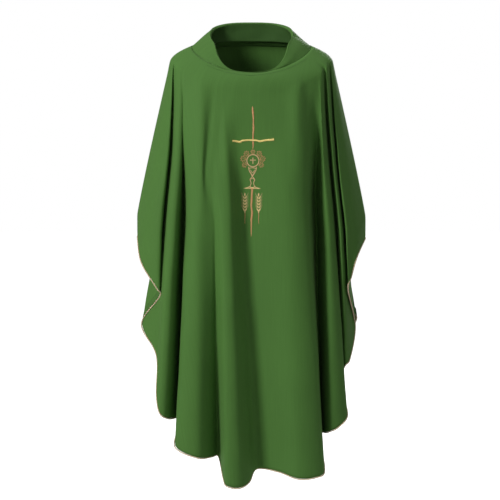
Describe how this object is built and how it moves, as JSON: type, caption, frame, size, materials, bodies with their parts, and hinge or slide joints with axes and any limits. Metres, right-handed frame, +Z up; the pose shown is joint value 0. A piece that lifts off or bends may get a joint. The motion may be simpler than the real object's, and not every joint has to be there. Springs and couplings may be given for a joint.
{
  "type": "chasuble",
  "caption": "Sleeveless outer church vestment hanging as worn: wide wings, rounded hem with corded edge, loose cowl collar and an embroidered cross, chalice and wheat on the chest.",
  "frame": {"origin": "midway between the two neck points, where the wearer's shoulders carry the garment", "axes": "+Z up, -Y to the front with the embroidery, +X to the wearer's left"},
  "size_m": [0.6422, 0.3419, 1.3018],
  "materials": {
    "body_cloth": "matte",
    "lining_cloth": "matte",
    "facing_cloth": "matte",
    "interlining": "matte",
    "seam_tape": "matte",
    "piping_cord": "matte",
    "gold_thread": "satin",
    "copper_thread": "satin",
    "backing": "matte"
  },
  "bodies": {
    "root": {"front_panel": "body_cloth", "back_panel": "body_cloth", "collar_outer": "body_cloth", "collar_lining": "lining_cloth", "collar_interlining": "interlining", "neck_facing": "facing_cloth", "shoulder_tape_left": "seam_tape", "shoulder_tape_right": "seam_tape", "hem_piping_front": "piping_cord", "hem_piping_back": "piping_cord", "hem_facing_front": "facing_cloth", "hem_facing_back": "facing_cloth", "embroidery_backing": "backing", "cross_post": "copper_thread", "cross_bar": "gold_thread", "medallion_ring": "copper_thread", "medallion_cross": "gold_thread", "vine_leaves": "copper_thread", "chalice_cup": "copper_thread", "chalice_knop": "copper_thread", "chalice_foot": "gold_thread", "lower_staff": "copper_thread", "wheat_ear_left": "gold_thread", "wheat_ear_right": "gold_thread", "wheat_stalks": "copper_thread"}
  },
  "joints": []
}
